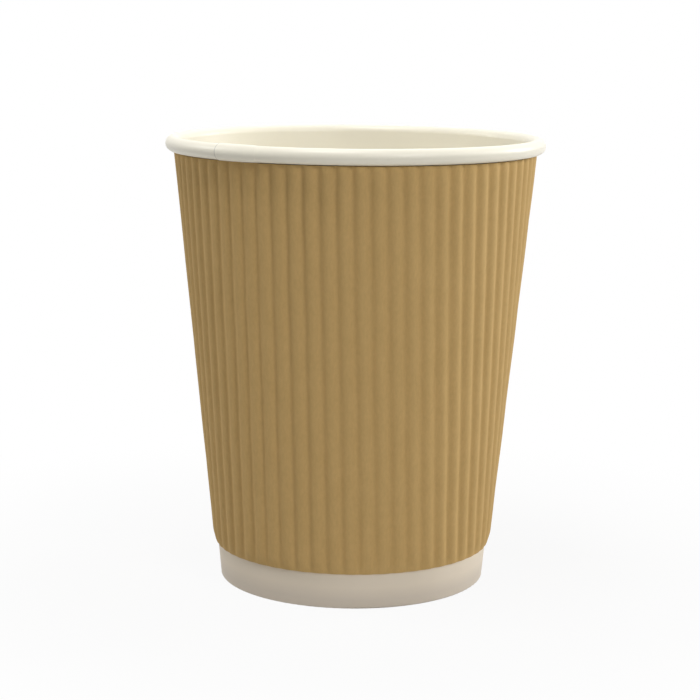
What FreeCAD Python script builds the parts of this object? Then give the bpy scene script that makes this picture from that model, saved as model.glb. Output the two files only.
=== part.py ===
import FreeCAD, Part
import math
import os

Vector = FreeCAD.Vector
ORIGIN = Vector(0, 0, 0)
UP = Vector(0, 0, 1)

# Paper cup for a small hot drink, in millimetres and degrees.
# The foot stands on z = 0 round the z axis. Azimuth 0 is the front, towards -y, and grows towards +x.

# Cup
RIM_RADIUS = 40.0
HEIGHT = 94.8
FOOT_RADIUS = 28.4
BOARD = 0.3
CURL_RADIUS = 1.6
CURL_TURN = 268.0
GLUE_FILM = 0.02

# Side seam of the cup
SEAM_AZIMUTH = -43.9
SEAM_LAP = 10.5
SEAM_RUN_OUT = 4.0
SEAM_STEP = 0.12
SEAM_THIN_STEP = 0.03
SEAM_SUNK = 0.1
SEAM_CURL_TURN = 265.0

# Bottom
DISC_TOP = 7.0
SKIRT_BEND = 0.6
HEM_TOP = 5.6

# Fluted sleeve
SLEEVE_PAPER = 0.3
SLEEVE_BOTTOM = 7.6
SLEEVE_TOP = 91.4
PRESSED_HEIGHT = 2.8
FLUTE_PITCH = 3.31
FLUTE_DEPTH = 0.55
CREST_SHARE = 0.66
PRESSED_DEPTH = 0.12
SLEEVE_CLEARANCE = 0.05
SLEEVE_TOP_CLEARANCE = 0.42
SLEEVE_CENTRE_AZIMUTH = -15.6
FIRST_CREST = 1.2
SLEEVE_SEAM_GAP = 0.3
BANDS = 8

# The wall's outer face leans out from the foot and runs on into the inside of the curl.
CURL_CENTRE = Vector(RIM_RADIUS - CURL_RADIUS, 0, HEIGHT - CURL_RADIUS)
WALL_LEAN = math.atan2(CURL_CENTRE.x - FOOT_RADIUS, CURL_CENTRE.z) - math.asin(
    (CURL_RADIUS - BOARD) / math.hypot(CURL_CENTRE.x - FOOT_RADIUS, CURL_CENTRE.z)
)


def wall_point(depth, height):
    """Point of the half section at this depth inside the wall's outer face."""
    return Vector(FOOT_RADIUS + math.tan(WALL_LEAN) * height - depth / math.cos(WALL_LEAN), 0, height)


def curl_point(radius, turned):
    """Point of the curl, turned in degrees from where the wall runs into it."""
    angle = math.pi - WALL_LEAN - math.radians(turned)
    return CURL_CENTRE + Vector(radius * math.cos(angle), 0, radius * math.sin(angle))


def curl_arc(radius, start, end):
    """Arc of the curl between two turns."""
    return Part.Arc(curl_point(radius, start), curl_point(radius, (start + end) / 2), curl_point(radius, end)).toShape()


def rounded(corners):
    """Edges through (point, radius) corners, with an arc at each corner that has a radius."""
    edges = []
    last = corners[0][0]
    for (before, _), (corner, radius), (after, _) in zip(corners, corners[1:], corners[2:]):
        back = (before - corner).normalize()
        ahead = (after - corner).normalize()
        half = back.getAngle(ahead) / 2
        if radius:
            cut = radius / math.tan(half)
            centre = corner + (back + ahead).normalize() * (radius / math.sin(half))
            start = corner + back * cut
            end = corner + ahead * cut
            middle = centre + (corner - centre).normalize() * radius
            edges += [Part.makeLine(last, start), Part.Arc(start, middle, end).toShape()]
            last = end
        else:
            edges.append(Part.makeLine(last, corner))
            last = corner
    edges.append(Part.makeLine(last, corners[-1][0]))
    return edges


def half_section(edges):
    """Flat face inside a closed outline of the half section."""
    return Part.Face(Part.Wire(Part.__sortEdges__(edges)))


def turned_to(shape, azimuth):
    """Copy of a half section or solid turned from +x to an azimuth."""
    copy = shape.copy()
    copy.rotate(ORIGIN, UP, azimuth - 90)
    return copy


# Depths of the three layers of the bottom seam inside the wall's outer face: wall, skirt of the disc, hem.
SKIRT_OUTSIDE = BOARD + GLUE_FILM
SKIRT_INSIDE = SKIRT_OUTSIDE + BOARD
HEM_OUTSIDE = SKIRT_INSIDE + GLUE_FILM
HEM_INSIDE = HEM_OUTSIDE + BOARD


def wall_section():
    """The board from the hem, folded under the foot, up the wall and round the curl."""
    board = [
        (curl_point(CURL_RADIUS, 0), 0),
        (wall_point(BOARD, BOARD), 0),
        (wall_point(HEM_OUTSIDE, BOARD), 0),
        (wall_point(HEM_OUTSIDE, HEM_TOP), 0),
        (wall_point(HEM_INSIDE, HEM_TOP), 0),
        (wall_point(HEM_INSIDE, 0), BOARD),
        (wall_point(0, 0), BOARD),
        (curl_point(CURL_RADIUS - BOARD, 0), 0),
    ]
    curl = [
        curl_arc(CURL_RADIUS - BOARD, 0, CURL_TURN),
        Part.makeLine(curl_point(CURL_RADIUS - BOARD, CURL_TURN), curl_point(CURL_RADIUS, CURL_TURN)),
        curl_arc(CURL_RADIUS, 0, CURL_TURN),
    ]
    return half_section(rounded(board) + curl)


def lap_section(step):
    """The inner ply of the side seam, from the bottom disc up and round the curl, standing up by a step."""
    foot = DISC_TOP + GLUE_FILM
    shown = CURL_RADIUS + step
    sunk = CURL_RADIUS - SEAM_SUNK
    return half_section(
        [
            Part.makeLine(wall_point(BOARD + step, foot), curl_point(shown, 0)),
            curl_arc(shown, 0, SEAM_CURL_TURN),
            Part.makeLine(curl_point(shown, SEAM_CURL_TURN), curl_point(sunk, SEAM_CURL_TURN)),
            curl_arc(sunk, 0, SEAM_CURL_TURN),
            Part.makeLine(curl_point(sunk, 0), wall_point(BOARD - SEAM_SUNK, foot)),
            Part.makeLine(wall_point(BOARD - SEAM_SUNK, foot), wall_point(BOARD + step, foot)),
        ]
    )


def cup_wall():
    """Conical wall with the rolled rim, the lapped side seam and the hem at the foot."""
    wall = wall_section().revolve(ORIGIN, UP, 360)
    lap = turned_to(lap_section(SEAM_STEP), SEAM_AZIMUTH).revolve(ORIGIN, UP, SEAM_LAP)
    lap_end = SEAM_AZIMUTH + SEAM_LAP
    run_out = Part.makeLoft(
        [
            turned_to(lap_section(SEAM_STEP), lap_end).OuterWire,
            turned_to(lap_section(SEAM_THIN_STEP), lap_end + SEAM_RUN_OUT).OuterWire,
        ],
        True,
        True,
    )
    return wall.fuse([lap, run_out])


def base_disc():
    """Raised bottom with its edge turned down as a skirt between the wall and the hem."""
    underside = DISC_TOP - BOARD
    skirt_end = BOARD + GLUE_FILM
    outline = [
        (Vector(0, 0, underside), 0),
        (Vector(0, 0, DISC_TOP), 0),
        (wall_point(SKIRT_OUTSIDE, DISC_TOP), SKIRT_BEND),
        (wall_point(SKIRT_OUTSIDE, skirt_end), 0),
        (wall_point(SKIRT_INSIDE, skirt_end), 0),
        (wall_point(SKIRT_INSIDE, underside), SKIRT_BEND - BOARD),
        (Vector(0, 0, underside), 0),
    ]
    return half_section(rounded(outline)).revolve(ORIGIN, UP, 360)


# The sleeve is a flat blank of fluted paper with all flutes parallel, rolled into a cone.
# x is measured across the blank from the flute line at the middle, and azimuth follows from it.
PRESSED_TOP = SLEEVE_BOTTOM + PRESSED_HEIGHT
INNER_AT_PRESSED_TOP = wall_point(-SLEEVE_CLEARANCE, PRESSED_TOP).x
INNER_AT_TOP = wall_point(-SLEEVE_TOP_CLEARANCE, SLEEVE_TOP).x
SLEEVE_TAPER = (INNER_AT_TOP - INNER_AT_PRESSED_TOP) / (SLEEVE_TOP - PRESSED_TOP)
SLEEVE_LEAN = math.atan(SLEEVE_TAPER)
APEX_HEIGHT = PRESSED_TOP - INNER_AT_PRESSED_TOP / SLEEVE_TAPER
SEAM_TURN = 180.0


class Level:
    """Horizontal section of the sleeve: where the flutes stand at one height."""

    def __init__(self, height, inner_radius, depth):
        self.height = height
        self.inner_radius = inner_radius
        self.depth = depth
        self.reach = (height - APEX_HEIGHT) / math.cos(SLEEVE_LEAN)

    def turn(self, x):
        """Turn in degrees from the middle of the blank, at a distance x across it."""
        return math.degrees(math.asin(x / self.reach) / math.sin(SLEEVE_LEAN))

    def x_at(self, turn):
        """Distance across the blank at this turn from its middle."""
        return self.reach * math.sin(math.radians(turn) * math.sin(SLEEVE_LEAN))

    def joint(self, x, rising, face):
        """Point between a valley arc and a crest arc on the outer (+1) or inner (-1) face, with its tangent."""
        azimuth = math.radians(SLEEVE_CENTRE_AZIMUTH + self.turn(x))
        outward = Vector(math.sin(azimuth), -math.cos(azimuth), 0)
        along = Vector(math.cos(azimuth), math.sin(azimuth), 0)
        half_pitch = FLUTE_PITCH / 2 / math.sqrt(1 - (x / self.reach) ** 2)
        slope = 2 * math.atan(self.depth / half_pitch) * (1 if rising else -1)
        tangent = along * math.cos(slope) + outward * math.sin(slope)
        normal = outward * math.cos(slope) - along * math.sin(slope)
        radius = self.inner_radius + SLEEVE_PAPER / 2 + (1 - CREST_SHARE) * self.depth
        point = outward * radius + normal * (face * SLEEVE_PAPER / 2)
        return point + Vector(0, 0, self.height), tangent

    def arc(self, index, face):
        """Poles and weights of one arc: even numbers are crests, odd numbers the valleys after them."""
        start, start_tangent = self.joint(joint_x(index), index % 2 == 0, face)
        end, end_tangent = self.joint(joint_x(index + 1), index % 2 == 1, face)
        chord = end - start
        cross = start_tangent.x * end_tangent.y - start_tangent.y * end_tangent.x
        run = (chord.x * end_tangent.y - chord.y * end_tangent.x) / cross
        weight = math.sqrt((1 + start_tangent.dot(end_tangent)) / 2)
        return [start, start + start_tangent * run, end], [1, weight, 1]


def joint_x(index):
    """Distance across the blank of the joint before an arc."""
    crest = FIRST_CREST + FLUTE_PITCH * (index // 2)
    return crest + FLUTE_PITCH * CREST_SHARE / 2 * (-1 if index % 2 == 0 else 1)


def full_level(height):
    """Level at the full flute depth."""
    return Level(height, INNER_AT_PRESSED_TOP + SLEEVE_TAPER * (height - PRESSED_TOP), FLUTE_DEPTH)


EDGE = Level(SLEEVE_BOTTOM, wall_point(-GLUE_FILM, SLEEVE_BOTTOM).x, PRESSED_DEPTH)
SHOULDER = full_level(SLEEVE_BOTTOM + PRESSED_HEIGHT / 2)
STANDING = [full_level(PRESSED_TOP + (SLEEVE_TOP - PRESSED_TOP) * band / BANDS) for band in range(BANDS + 1)]
TOP = STANDING[-1]


def fluted_face(rows):
    """Face on rows of poles and weights: two rows make it straight up the sleeve, three make it bend."""
    poles = [list(column) for column in zip(*[points for points, _ in rows])]
    weights = [list(column) for column in zip(*[values for _, values in rows])]
    across = len(poles)
    up = len(rows)
    surface = Part.BSplineSurface()
    surface.buildFromPolesMultsKnots(
        poles, [across] * 2, [up] * 2, [0, 1], [0, 1], False, False, across - 1, up - 1, weights
    )
    return surface.toShape()


def arc_edge(level, index, face):
    """Edge of one arc on the flat bottom or top of the sleeve."""
    poles, weights = level.arc(index, face)
    curve = Part.BSplineCurve()
    curve.buildFromPolesMultsKnots(poles, [3, 3], [0, 1], False, 2, weights)
    return curve.toShape()


def strip_rows(index, face):
    """Rows of one arc for the pressed edge, which bends out, and for each straight band above it."""
    arcs = [level.arc(index, face) for level in STANDING]
    pressed = [EDGE.arc(index, face), SHOULDER.arc(index, face), arcs[0]]
    return [pressed] + [list(pair) for pair in zip(arcs, arcs[1:])]


def flat_end(level, first, last):
    """Flat face between the outer and the inner arcs at the bottom or the top."""
    outer = [arc_edge(level, index, 1) for index in range(first, last)]
    inner = [arc_edge(level, index, -1) for index in range(first, last)]
    sides = [
        Part.makeLine(level.arc(first, 1)[0][0], level.arc(first, -1)[0][0]),
        Part.makeLine(level.arc(last - 1, 1)[0][2], level.arc(last - 1, -1)[0][2]),
    ]
    return half_section(outer + inner + sides)


def side_faces(index):
    """Faces across the paper along the joint before an arc."""
    faces = []
    for outer, inner in zip(strip_rows(index, 1), strip_rows(index, -1)):
        faces.append(fluted_face([([o[0][0], i[0][0]], [1, 1]) for o, i in zip(outer, inner)]))
    return faces


def fluted_faces(first, last):
    """Outer, inner, bottom and top faces of the paper from one joint to another."""
    faces = []
    for index in range(first, last):
        for face in (1, -1):
            faces += [fluted_face(rows) for rows in strip_rows(index, face)]
    return faces + [flat_end(EDGE, first, last), flat_end(TOP, first, last)]


def sewn(faces):
    """Solid inside faces that meet along their edges."""
    shell = Part.Shell(faces)
    shell.sewShape()
    return Part.Solid(shell)


def end_faces(first, last, side):
    """Faces of the blank's end part, cut off along the seam, without the cap where it joins the front."""
    caps = side_faces(first) + side_faces(last)
    width = 2 * RIM_RADIUS
    start = SLEEVE_SEAM_GAP / 2 - width if side > 0 else -SLEEVE_SEAM_GAP / 2
    beyond_seam = Part.makeBox(width, 2 * width, HEIGHT, Vector(start, -width, 0))
    beyond_seam.rotate(ORIGIN, UP, SLEEVE_CENTRE_AZIMUTH)
    cut = sewn(fluted_faces(first, last) + caps).cut(beyond_seam)
    joined = [cap.CenterOfMass for cap in side_faces(first if side > 0 else last)]
    return [f for f in cut.Faces if min((f.CenterOfMass - centre).Length for centre in joined) > SLEEVE_PAPER / 2]


def ripple_sleeve():
    """Sheet of fluted paper round the wall, its two ends meeting along a seam at the back."""
    right_start = 2 * int((EDGE.x_at(SEAM_TURN) - FIRST_CREST) / FLUTE_PITCH) - 1
    right_end = 2 * math.ceil((TOP.x_at(SEAM_TURN) - FIRST_CREST) / FLUTE_PITCH) + 1
    left_start = 2 * math.floor((TOP.x_at(-SEAM_TURN) - FIRST_CREST) / FLUTE_PITCH)
    left_end = 2 * math.ceil((EDGE.x_at(-SEAM_TURN) - FIRST_CREST) / FLUTE_PITCH) + 2
    front = fluted_faces(left_end, right_start)
    return sewn(front + end_faces(right_start, right_end, 1) + end_faces(left_start, left_end, -1))


def main():
    os.makedirs("parts", exist_ok=True)
    parts = {
        "cup_wall": cup_wall(),
        "base_disc": base_disc(),
        "ripple_sleeve": ripple_sleeve(),
    }
    for name, shape in parts.items():
        box = shape.BoundBox
        print(
            name,
            "valid" if shape.isValid() else "NOT VALID",
            f"solids {len(shape.Solids)} faces {len(shape.Faces)} volume {shape.Volume:.1f}",
            f"box {box.XMin:.2f}..{box.XMax:.2f} {box.YMin:.2f}..{box.YMax:.2f} {box.ZMin:.2f}..{box.ZMax:.2f}",
        )
        shape.exportStep(f"parts/{name}.step")


main()
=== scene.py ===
import math

import bmesh
import bpy
import numpy as np
from mathutils import Matrix, Vector

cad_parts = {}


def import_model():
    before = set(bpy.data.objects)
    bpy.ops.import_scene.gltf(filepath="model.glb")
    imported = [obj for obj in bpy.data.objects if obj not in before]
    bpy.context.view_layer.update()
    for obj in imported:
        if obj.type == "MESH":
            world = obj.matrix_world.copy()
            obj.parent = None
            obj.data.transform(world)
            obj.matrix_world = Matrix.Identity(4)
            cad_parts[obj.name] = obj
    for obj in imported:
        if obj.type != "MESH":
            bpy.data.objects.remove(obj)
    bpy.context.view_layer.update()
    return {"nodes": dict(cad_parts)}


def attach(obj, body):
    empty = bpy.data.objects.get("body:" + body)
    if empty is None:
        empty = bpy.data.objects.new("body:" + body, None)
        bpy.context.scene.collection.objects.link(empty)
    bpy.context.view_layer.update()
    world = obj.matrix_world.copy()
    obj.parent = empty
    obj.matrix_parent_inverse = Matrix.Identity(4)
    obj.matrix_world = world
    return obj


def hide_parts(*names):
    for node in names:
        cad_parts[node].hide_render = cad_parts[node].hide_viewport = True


MM = 0.001

# Camera: in front of the cup and above it, turned down to it, in millimetres, degrees and pixels
CAMERA_DISTANCE = 411.42
CAMERA_HEIGHT = 121.74
CAMERA_YAW = -0.1064
CAMERA_PITCH = 10.0425
CAMERA_ROLL = 0.5652
FOCAL_PIXELS = 1943.15
PHOTO_PIXELS = 700
SENSOR = 36.0
CLIP_START = 10.0

# Board of the cup, as in the part, in millimetres and degrees
RIM_RADIUS = 40.0
HEIGHT = 94.8
FOOT_RADIUS = 28.4
BOARD = 0.3
CURL_RADIUS = 1.6
SEAM_AZIMUTH = -43.9

# Fluted sleeve, as in the part
GLUE_FILM = 0.02
SLEEVE_PAPER = 0.3
SLEEVE_BOTTOM = 7.6
SLEEVE_TOP = 91.4
PRESSED_HEIGHT = 2.8
FLUTE_PITCH = 3.31
FLUTE_DEPTH = 0.55
CREST_SHARE = 0.66
PRESSED_DEPTH = 0.12
SLEEVE_CLEARANCE = 0.05
SLEEVE_TOP_CLEARANCE = 0.42
SLEEVE_CENTRE_AZIMUTH = -15.6
FIRST_CREST = 1.2
SLEEVE_SEAM_GAP = 0.3

# Mesh of the sleeve: steps across a crest and a valley, rows of the pressed and the standing stretch
CREST_STEPS = 8
VALLEY_STEPS = 5
PRESSED_ROWS = 6
STANDING_ROWS = 34
SLOPE_STEP = 0.01
SHARP_ANGLE = 50

# Unevenness of the flutes: sideways in millimetres, in depth as a share, each with its longest wave
SLEEVE_SEED = 11
FLUTE_WANDER = 0.06
WANDER_LENGTH = 62
FLUTE_UNEVEN = 0.06
UNEVEN_LENGTH = 80
WAVE_SHARES = (1, 0.47, 0.23)
WEAKEST_WAVE = 0.3
SPARE_FLUTES = 1

# Colours, as stops of ramps
WHITE = (1.0, 1.0, 1.0)
KRAFT_CLOUD_STOPS = [(0.3, (0.603, 0.399, 0.155)), (0.7, (0.628, 0.417, 0.165))]
KRAFT_FIBRE_STOPS = [(0.35, (0.93, 0.925, 0.91)), (0.65, WHITE)]
# Outer face: the board's own tone with painted warm shade, darker and warmer than the coated face
OUTER_SHADED_STOPS = [(0.3, (0.87, 0.768, 0.622)), (0.7, (0.89, 0.786, 0.64))]
COATED_STOPS = [(0.3, (0.965, 0.92, 0.778)), (0.7, (0.975, 0.93, 0.788))]
# Painted shade near the foot: the outer board greys towards the edge it stands on, where the floor's shadow
# darkens it
FOOT_SHADE_STOPS = [(0.25, (0.87, 0.87, 0.89)), (0.6, WHITE)]
LAP_LINE_STOPS = [(0.0, (0.72, 0.72, 0.75)), (1.0, WHITE)]
LAP_LINE_WIDTH = 0.22

# Finish of paper and board: gloss, noise in waves per metre, and bumps with their height in millimetres
KRAFT_ROUGHNESS = 0.78
KRAFT_SPECULAR = 0.28
KRAFT_CLOUD_WAVES = 260
KRAFT_FIBRE_WAVES = 2200
KRAFT_FIBRE_STRETCH = (1, 1, 0.35)
KRAFT_BUMP_WAVES = 1800
KRAFT_BUMP_STRETCH = (1, 1, 0.5)
KRAFT_BUMP = 0.12
KRAFT_BUMP_HEIGHT = 0.05
OUTER_ROUGHNESS = 0.6
COATED_ROUGHNESS = 0.38
BOARD_SPECULAR = 0.4
BOARD_CLOUD_WAVES = 120
BOARD_BUMP_WAVES = 900
BOARD_BUMP = 0.15
BOARD_BUMP_HEIGHT = 0.03

# Sockets of a mix node that mixes colours
FIRST_COLOUR = 6
SECOND_COLOUR = 7
MIXED_COLOUR = 2

# Lamps: name, azimuth and elevation in degrees, distance, width and height in metres, share of full daylight
LAMPS = [
    ("high_left", -42, 76, 1.1, 0.4, 0.4, 0.6),
    ("front_right", 33, 28, 1.0, 0.3, 0.3, 0.285),
    ("right", 90, 25, 1.0, 0.3, 0.3, 0.12),
    ("back_right", 114, 17, 1.0, 0.3, 0.3, 0.37),
    ("back_left", -105, 30, 1.0, 0.3, 0.3, 0.22),
    ("back", 180, 45, 1.1, 0.8, 0.6, 0.13),
]
WORLD_LIGHT = 0.03

# Floor: its colour and half width, and how white it looks at two distances from the cup, in metres
FLOOR_COLOUR = (0.6, 0.6, 0.6)
FLOOR_REACH = 4
FLOOR_WHITE_NEAR = 0.92
FLOOR_WHITE_FAR = 1.0
FLOOR_NEAR = 0.05
FLOOR_FAR = 0.14


def added(name, data):
    """New object of the scene that holds this camera, lamp or mesh."""
    obj = bpy.data.objects.new(name, data)
    bpy.context.scene.collection.objects.link(obj)
    return obj


def camera():
    yaw = math.radians(CAMERA_YAW)
    pitch = math.radians(CAMERA_PITCH)
    roll = math.radians(CAMERA_ROLL)
    forward = Vector((math.sin(yaw) * math.cos(pitch), math.cos(yaw) * math.cos(pitch), -math.sin(pitch)))
    right = Vector((math.cos(yaw), -math.sin(yaw), 0))
    up = right.cross(forward)
    rolled_right = right * math.cos(roll) + up * math.sin(roll)
    rolled_up = up * math.cos(roll) - right * math.sin(roll)
    data = bpy.data.cameras.new("camera")
    data.sensor_width = SENSOR
    data.lens = FOCAL_PIXELS / PHOTO_PIXELS * SENSOR
    data.clip_start = CLIP_START * MM
    obj = added("camera", data)
    turn = Matrix((rolled_right, rolled_up, -forward)).transposed().to_4x4()
    obj.matrix_world = Matrix.Translation(Vector((0, -CAMERA_DISTANCE, CAMERA_HEIGHT)) * MM) @ turn
    bpy.context.scene.camera = obj


def lamp(name, azimuth, elevation, distance, width, height, share):
    """Soft box aimed at the middle of the cup. Its power gives this share of an irradiance of pi there."""
    turn = math.radians(azimuth)
    rise = math.radians(elevation)
    away = Vector((math.sin(turn) * math.cos(rise), -math.cos(turn) * math.cos(rise), math.sin(rise)))
    data = bpy.data.lights.new(name, "AREA")
    data.shape = "RECTANGLE"
    data.size = width
    data.size_y = height
    data.energy = share * math.pi**2 * distance**2
    obj = added(name, data)
    obj.location = away * distance + Vector((0, 0, HEIGHT / 2 * MM))
    obj.rotation_mode = "QUATERNION"
    obj.rotation_quaternion = away.to_track_quat("Z", "Y")


def feed(tree, value, socket):
    """Link a socket to another node's result, or set it to a constant."""
    if isinstance(value, bpy.types.NodeSocket):
        tree.links.new(value, socket)
    else:
        socket.default_value = value


def worked_out(tree, kind, operation, values):
    """Outputs of a math node of this kind, on results and constants."""
    node = tree.nodes.new(kind)
    node.operation = operation
    for value, socket in zip(values, node.inputs):
        feed(tree, value, socket)
    return node.outputs


def number(tree, operation, *values):
    """Result of a Math node."""
    return worked_out(tree, "ShaderNodeMath", operation, values)["Value"]


def dot(tree, first, second):
    """Dot product of two vectors."""
    return worked_out(tree, "ShaderNodeVectorMath", "DOT_PRODUCT", (first, second))["Value"]


def mapped(tree, value, low, high, to_low=0.0, to_high=1.0, interpolation="LINEAR"):
    """Value brought from one range to another, and kept within it."""
    node = tree.nodes.new("ShaderNodeMapRange")
    node.interpolation_type = interpolation
    node.inputs["From Min"].default_value = low
    node.inputs["From Max"].default_value = high
    node.inputs["To Min"].default_value = to_low
    node.inputs["To Max"].default_value = to_high
    feed(tree, value, node.inputs["Value"])
    return node.outputs["Result"]


def object_place(tree):
    return tree.nodes.new("ShaderNodeTexCoord").outputs["Object"]


def height_at(tree, place):
    split = tree.nodes.new("ShaderNodeSeparateXYZ")
    feed(tree, place, split.inputs[0])
    return split.outputs["Z"]


def seen_directly(tree):
    """1 for rays from the camera or a mirror image, and 0 for light."""
    path = tree.nodes.new("ShaderNodeLightPath").outputs
    first = number(tree, "MAXIMUM", path["Is Camera Ray"], path["Is Glossy Ray"])
    return number(tree, "MAXIMUM", first, path["Is Transmission Ray"])


def world():
    sky = bpy.data.worlds.new("studio")
    sky.use_nodes = True
    tree = sky.node_tree
    background = tree.nodes["Background"]
    background.inputs["Color"].default_value = (*WHITE, 1)
    feed(tree, mapped(tree, seen_directly(tree), 0.0, 1.0, WORLD_LIGHT, 1.0), background.inputs["Strength"])
    bpy.context.scene.world = sky


def floor_finish():
    """Pale matt paint, which looks nearly white to the camera and keeps the shadow of the cup."""
    material = bpy.data.materials.new("floor")
    material.use_nodes = True
    tree = material.node_tree
    tree.nodes.clear()
    paint = tree.nodes.new("ShaderNodeBsdfDiffuse")
    paint.inputs["Color"].default_value = (*FLOOR_COLOUR, 1)
    white = tree.nodes.new("ShaderNodeEmission")
    away = worked_out(tree, "ShaderNodeVectorMath", "LENGTH", [object_place(tree)])["Value"]
    whiteness = mapped(tree, away, FLOOR_NEAR, FLOOR_FAR, FLOOR_WHITE_NEAR, FLOOR_WHITE_FAR, "SMOOTHSTEP")
    mix = tree.nodes.new("ShaderNodeMixShader")
    feed(tree, number(tree, "MULTIPLY", seen_directly(tree), whiteness), mix.inputs[0])
    feed(tree, paint.outputs[0], mix.inputs[1])
    feed(tree, white.outputs[0], mix.inputs[2])
    output = tree.nodes.new("ShaderNodeOutputMaterial")
    feed(tree, mix.outputs[0], output.inputs["Surface"])
    return material


def floor():
    mesh = bpy.data.meshes.new("floor")
    corners = [(x * FLOOR_REACH, y * FLOOR_REACH, 0) for x, y in ((-1, -1), (1, -1), (1, 1), (-1, 1))]
    mesh.from_pydata(corners, [], [(0, 1, 2, 3)])
    mesh.materials.append(floor_finish())
    added("floor", mesh)


def noise(tree, waves, detail, stretch=(1, 1, 1), roughness=0.5):
    """Noise in object space, with this many waves per metre."""
    mapping = tree.nodes.new("ShaderNodeMapping")
    mapping.inputs["Scale"].default_value = stretch
    feed(tree, object_place(tree), mapping.inputs["Vector"])
    node = tree.nodes.new("ShaderNodeTexNoise")
    node.inputs["Scale"].default_value = waves
    node.inputs["Detail"].default_value = detail
    node.inputs["Roughness"].default_value = roughness
    feed(tree, mapping.outputs["Vector"], node.inputs["Vector"])
    return node.outputs[0]


def ramp(tree, value, stops):
    """Colour for a value, from stops of position and colour."""
    node = tree.nodes.new("ShaderNodeValToRGB")
    for element, (position, colour) in zip(node.color_ramp.elements, stops):
        element.position = position
        element.color = (*colour, 1)
    feed(tree, value, node.inputs["Fac"])
    return node.outputs["Color"]


def mixed(tree, blend, factor, first, second):
    node = tree.nodes.new("ShaderNodeMix")
    node.data_type = "RGBA"
    node.blend_type = blend
    feed(tree, factor, node.inputs["Factor"])
    feed(tree, first, node.inputs[FIRST_COLOUR])
    feed(tree, second, node.inputs[SECOND_COLOUR])
    return node.outputs[MIXED_COLOUR]


def multiplied(tree, first, second):
    return mixed(tree, "MULTIPLY", 1.0, first, second)


def bumped(tree, shader, strength, height, relief):
    bump = tree.nodes.new("ShaderNodeBump")
    bump.inputs["Strength"].default_value = strength
    bump.inputs["Distance"].default_value = height * MM
    feed(tree, relief, bump.inputs["Height"])
    feed(tree, bump.outputs["Normal"], shader.inputs["Normal"])


def kraft_paper():
    material = bpy.data.materials.new("kraft_paper")
    material.use_nodes = True
    tree = material.node_tree
    shader = tree.nodes["Principled BSDF"]
    shader.inputs["Roughness"].default_value = KRAFT_ROUGHNESS
    shader.inputs["Specular IOR Level"].default_value = KRAFT_SPECULAR
    clouds = ramp(tree, noise(tree, KRAFT_CLOUD_WAVES, detail=3), KRAFT_CLOUD_STOPS)
    strands = noise(tree, KRAFT_FIBRE_WAVES, detail=4, stretch=KRAFT_FIBRE_STRETCH, roughness=0.65)
    feed(tree, multiplied(tree, clouds, ramp(tree, strands, KRAFT_FIBRE_STOPS)), shader.inputs["Base Color"])
    relief = noise(tree, KRAFT_BUMP_WAVES, detail=5, stretch=KRAFT_BUMP_STRETCH, roughness=0.6)
    bumped(tree, shader, KRAFT_BUMP, KRAFT_BUMP_HEIGHT, relief)
    return material


def inside_share(tree):
    """1 on the coated face of the board, which is the inside and the rolled rim, and 0 on the outside, whose
    colour carries painted warm shade.
    """
    where = tree.nodes.new("ShaderNodeNewGeometry").outputs
    inner_values = (where["Position"], (-1, -1, 0), (0, 0, RIM_RADIUS / 2 * MM))
    inner = worked_out(tree, "ShaderNodeVectorMath", "MULTIPLY_ADD", inner_values)["Vector"]
    inward = number(tree, "GREATER_THAN", dot(tree, inner, where["Normal"]), 0.0)
    curl = number(tree, "GREATER_THAN", height_at(tree, where["Position"]), SLEEVE_TOP * MM)
    return number(tree, "MAXIMUM", inward, curl)


def lap_line(tree):
    """Colour that draws the thin shaded line along the edge of the lap on the rolled rim."""
    turn = math.radians(SEAM_AZIMUTH)
    place = object_place(tree)
    sideways = number(tree, "ABSOLUTE", dot(tree, place, (math.cos(turn), math.sin(turn), 0)))
    beside = mapped(tree, sideways, LAP_LINE_WIDTH / 2 * MM, LAP_LINE_WIDTH * MM)
    outward = dot(tree, place, (math.sin(turn), -math.cos(turn), 0))
    opposite = number(tree, "LESS_THAN", outward, 0.0)
    below = number(tree, "LESS_THAN", height_at(tree, place), SLEEVE_TOP * MM)
    clear = number(tree, "MAXIMUM", beside, number(tree, "MAXIMUM", opposite, below))
    return ramp(tree, clear, LAP_LINE_STOPS)


def painted_foot_shade(tree):
    """Colour of painted shade, which greys the board softly towards the edge it stands on."""
    return ramp(tree, mapped(tree, height_at(tree, object_place(tree)), 0.0, SLEEVE_BOTTOM * MM), FOOT_SHADE_STOPS)


def coated_board():
    material = bpy.data.materials.new("coated_board")
    material.use_nodes = True
    tree = material.node_tree
    shader = tree.nodes["Principled BSDF"]
    shader.inputs["Specular IOR Level"].default_value = BOARD_SPECULAR
    inside = inside_share(tree)
    clouds = noise(tree, BOARD_CLOUD_WAVES, detail=3)
    # Outer face colour: the board's tone with painted warm shade, and painted shade towards the foot
    outer = multiplied(tree, ramp(tree, clouds, OUTER_SHADED_STOPS), painted_foot_shade(tree))
    coated = multiplied(tree, ramp(tree, clouds, COATED_STOPS), lap_line(tree))
    feed(tree, mixed(tree, "MIX", inside, outer, coated), shader.inputs["Base Color"])
    feed(tree, mapped(tree, inside, 0.0, 1.0, OUTER_ROUGHNESS, COATED_ROUGHNESS), shader.inputs["Roughness"])
    bumped(tree, shader, BOARD_BUMP, BOARD_BUMP_HEIGHT, noise(tree, BOARD_BUMP_WAVES, detail=4))
    return material


def wall_lean():
    """Lean of the wall's outer face, which runs on into the inside of the curl."""
    across = RIM_RADIUS - CURL_RADIUS - FOOT_RADIUS
    up = HEIGHT - CURL_RADIUS
    return math.atan2(across, up) - math.asin((CURL_RADIUS - BOARD) / math.hypot(across, up))


def wall_radius(gap, height):
    """Radius at this gap outside the wall's outer face."""
    return FOOT_RADIUS + math.tan(wall_lean()) * height + gap / math.cos(wall_lean())


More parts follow.
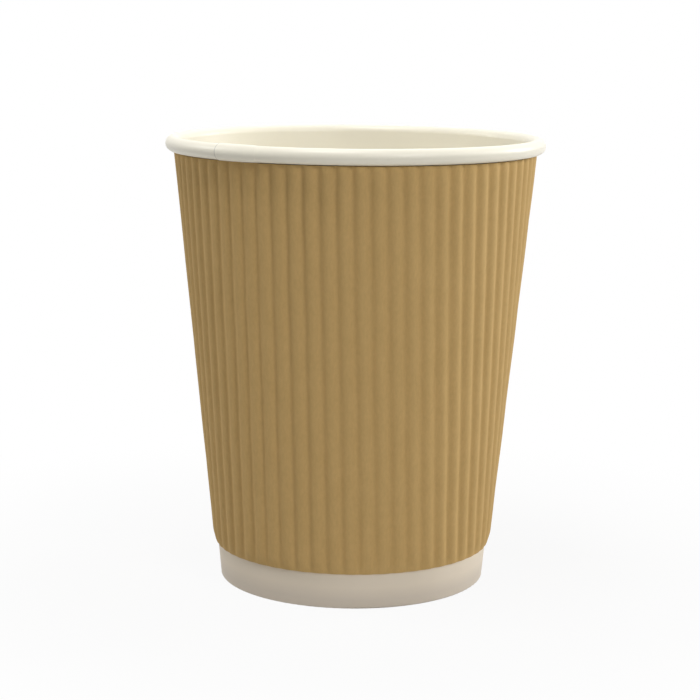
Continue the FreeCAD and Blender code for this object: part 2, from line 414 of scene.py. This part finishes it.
def smooth_random(random, count, length, size):
    """Function of flute number and height that wanders smoothly round 0, by about this size."""
    phases = random.uniform(0, 2 * math.pi, (len(WAVE_SHARES), count))
    sizes = random.uniform(WEAKEST_WAVE, 1.0, (len(WAVE_SHARES), count)) * size

    def at(flute, height):
        low = np.clip(np.floor(flute).astype(int), 0, count - 2)
        part = np.clip(flute - low, 0, 1)
        eased = part * part * (3 - 2 * part)
        value = 0
        for share, phase, strength in zip(WAVE_SHARES, phases, sizes):
            turn = 2 * math.pi * height / (length * share)
            value = value + strength[low] * np.sin(turn + phase[low]) * (1 - eased)
            value = value + strength[low + 1] * np.sin(turn + phase[low + 1]) * eased
        return value

    return at


def flute_wave(x, pitch, depth):
    """Height of the paper's middle over the lines between crest and valley arcs, at x across the flutes."""
    phase = np.mod((x - FIRST_CREST) / FLUTE_PITCH + CREST_SHARE / 2, 1)
    on_crest = phase < CREST_SHARE
    share = np.where(on_crest, CREST_SHARE, 1 - CREST_SHARE)
    along = np.where(on_crest, phase - CREST_SHARE / 2, phase - (1 + CREST_SHARE) / 2) * pitch
    slope = 2 * np.arctan(2 * depth / pitch)
    radius = share * pitch / 2 / np.sin(slope)
    height = np.sqrt(radius**2 - along**2) - radius * np.cos(slope)
    return np.where(on_crest, height, -height)


def sleeve_rows():
    """Lean of the cone, and by row of the mesh its height, the paper's inner radius, the depth of the flutes
    and the distance from the cone's apex."""
    pressed_top = SLEEVE_BOTTOM + PRESSED_HEIGHT
    inner_low = wall_radius(SLEEVE_CLEARANCE, pressed_top)
    taper = (wall_radius(SLEEVE_TOP_CLEARANCE, SLEEVE_TOP) - inner_low) / (SLEEVE_TOP - pressed_top)
    lean = math.atan(taper)
    apex = pressed_top - inner_low / taper
    bend = np.linspace(SLEEVE_BOTTOM, pressed_top, PRESSED_ROWS + 1)
    rise = np.linspace(pressed_top, SLEEVE_TOP, STANDING_ROWS + 1)[1:]
    heights = np.concatenate([bend, rise])[:, None]
    pressing = (1 - np.clip((heights - SLEEVE_BOTTOM) / PRESSED_HEIGHT, 0, 1)) ** 2
    pressed_in = wall_radius(GLUE_FILM, SLEEVE_BOTTOM) - (inner_low + taper * (SLEEVE_BOTTOM - pressed_top))
    inner = inner_low + taper * (heights - pressed_top) + pressed_in * pressing
    depth = FLUTE_DEPTH + (PRESSED_DEPTH - FLUTE_DEPTH) * pressing
    return lean, heights, inner, depth, (heights - apex) / math.cos(lean)


def flute_lines(first, last):
    """Places across the flutes, from the first flute to the last, at which the mesh has lines."""
    crest = np.linspace(-CREST_SHARE / 2, CREST_SHARE / 2, CREST_STEPS + 1)[:-1]
    valley = np.linspace(CREST_SHARE / 2, 1 - CREST_SHARE / 2, VALLEY_STEPS + 1)[:-1]
    flute = np.concatenate([crest, valley])
    return FIRST_CREST + FLUTE_PITCH * (np.arange(first, last)[:, None] + flute[None, :]).ravel()


def point_numbers(lines, ends):
    """Number of each point of the outer and the inner face. All lines past an end share its point."""
    rows = len(ends)
    columns = len(lines)
    numbers = np.arange(2 * rows * columns).reshape(2, rows, columns)
    start = np.argmax(lines > -ends, axis=1) - 1
    stop = columns - np.argmax(lines[::-1] < ends, axis=1)
    for row in range(rows):
        numbers[:, row, : start[row]] = numbers[:, row, start[row]][:, None]
        numbers[:, row, stop[row] + 1 :] = numbers[:, row, stop[row]][:, None]
    return numbers


def sheet_faces(numbers):
    """Faces of the closed sheet of paper: both sides, the two ends, and the lower and upper edge."""
    outer, inner = numbers.tolist()
    rows = range(len(outer) - 1)
    columns = range(len(outer[0]) - 1)
    faces = []
    for row in rows:
        for c in columns:
            faces.append([outer[row][c], outer[row][c + 1], outer[row + 1][c + 1], outer[row + 1][c]])
            faces.append([inner[row][c], inner[row + 1][c], inner[row + 1][c + 1], inner[row][c + 1]])
        faces.append([outer[row][0], outer[row + 1][0], inner[row + 1][0], inner[row][0]])
        faces.append([outer[row][-1], inner[row][-1], inner[row + 1][-1], outer[row + 1][-1]])
    for c in columns:
        faces.append([outer[0][c], inner[0][c], inner[0][c + 1], outer[0][c + 1]])
        faces.append([outer[-1][c], outer[-1][c + 1], inner[-1][c + 1], inner[-1][c]])
    distinct = [[a for i, a in enumerate(face) if a != face[i - 1]] for face in faces]
    return [face for face in distinct if len(set(face)) > 2]


def sleeve_object(points, faces, material):
    mesh = bpy.data.meshes.new("paper_sleeve")
    mesh.from_pydata((points.reshape(-1, 3) * MM).tolist(), [], faces)
    mesh.update()
    mesh.materials.append(material)
    clean = bmesh.new()
    clean.from_mesh(mesh)
    loose = [v for v in clean.verts if not v.link_faces]
    bmesh.ops.delete(clean, geom=loose, context="VERTS")
    clean.to_mesh(mesh)
    clean.free()
    mesh.shade_smooth()
    mesh.set_sharp_from_angle(angle=math.radians(SHARP_ANGLE))
    return added("paper_sleeve", mesh)


def paper_sleeve(material):
    """The fluted sleeve, with flutes that wander and differ in depth a little, as in real paper."""
    lean, heights, inner, depth, reach = sleeve_rows()
    half_width = reach * math.sin(math.pi * math.sin(lean))
    first = math.floor((-half_width[-1, 0] - FIRST_CREST) / FLUTE_PITCH) - SPARE_FLUTES
    last = math.ceil((half_width[-1, 0] - FIRST_CREST) / FLUTE_PITCH) + SPARE_FLUTES
    lines = flute_lines(first, last)
    ends = half_width - SLEEVE_SEAM_GAP / 2
    x = np.clip(lines, -ends, ends)
    z = np.broadcast_to(heights, x.shape)

    random = np.random.default_rng(SLEEVE_SEED)
    count = last - first + 1 + 2 * SPARE_FLUTES
    wander = smooth_random(random, count, WANDER_LENGTH, FLUTE_WANDER)
    uneven = smooth_random(random, count, UNEVEN_LENGTH, FLUTE_UNEVEN)

    def wrapped_pitch(x):
        """Pitch of the flutes round the cone, which grows where they cross it at a slant."""
        return FLUTE_PITCH / np.sqrt(1 - (x / reach) ** 2)

    def middle_radius(x):
        """Radius of the paper's middle line."""
        flute = (x - FIRST_CREST) / FLUTE_PITCH - first + SPARE_FLUTES
        here = depth * (1 + uneven(flute, z))
        level = inner + SLEEVE_PAPER / 2 + (1 - CREST_SHARE) * depth
        return level + flute_wave(x + wander(flute, z), wrapped_pitch(x), here)

    rise = (middle_radius(x + SLOPE_STEP) - middle_radius(x - SLOPE_STEP)) / (2 * SLOPE_STEP)
    tilt = np.arctan(rise * FLUTE_PITCH / wrapped_pitch(x))[..., None]
    azimuth = math.radians(SLEEVE_CENTRE_AZIMUTH) + np.arcsin(x / reach) / math.sin(lean)
    level = np.zeros_like(x)
    outward = np.stack([np.sin(azimuth), -np.cos(azimuth), level], -1)
    along = np.stack([np.cos(azimuth), np.sin(azimuth), level], -1)
    normal = outward * np.cos(tilt) - along * np.sin(tilt)
    middle = outward * middle_radius(x)[..., None] + np.stack([level, level, z], -1)
    points = np.stack([middle + normal * SLEEVE_PAPER / 2, middle - normal * SLEEVE_PAPER / 2])
    return sleeve_object(points, sheet_faces(point_numbers(lines, ends)), material)


def dressed(obj, material):
    obj.data.materials.clear()
    obj.data.materials.append(material)


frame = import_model()
camera()
world()
floor()
for settings in LAMPS:
    lamp(*settings)
bpy.context.scene.view_settings.view_transform = "Standard"

board = coated_board()
dressed(frame["nodes"]["cup_wall"], board)
dressed(frame["nodes"]["base_disc"], board)
kraft = kraft_paper()
dressed(frame["nodes"]["ripple_sleeve"], kraft)
sleeve = paper_sleeve(kraft)
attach(sleeve, "root")
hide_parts("ripple_sleeve")
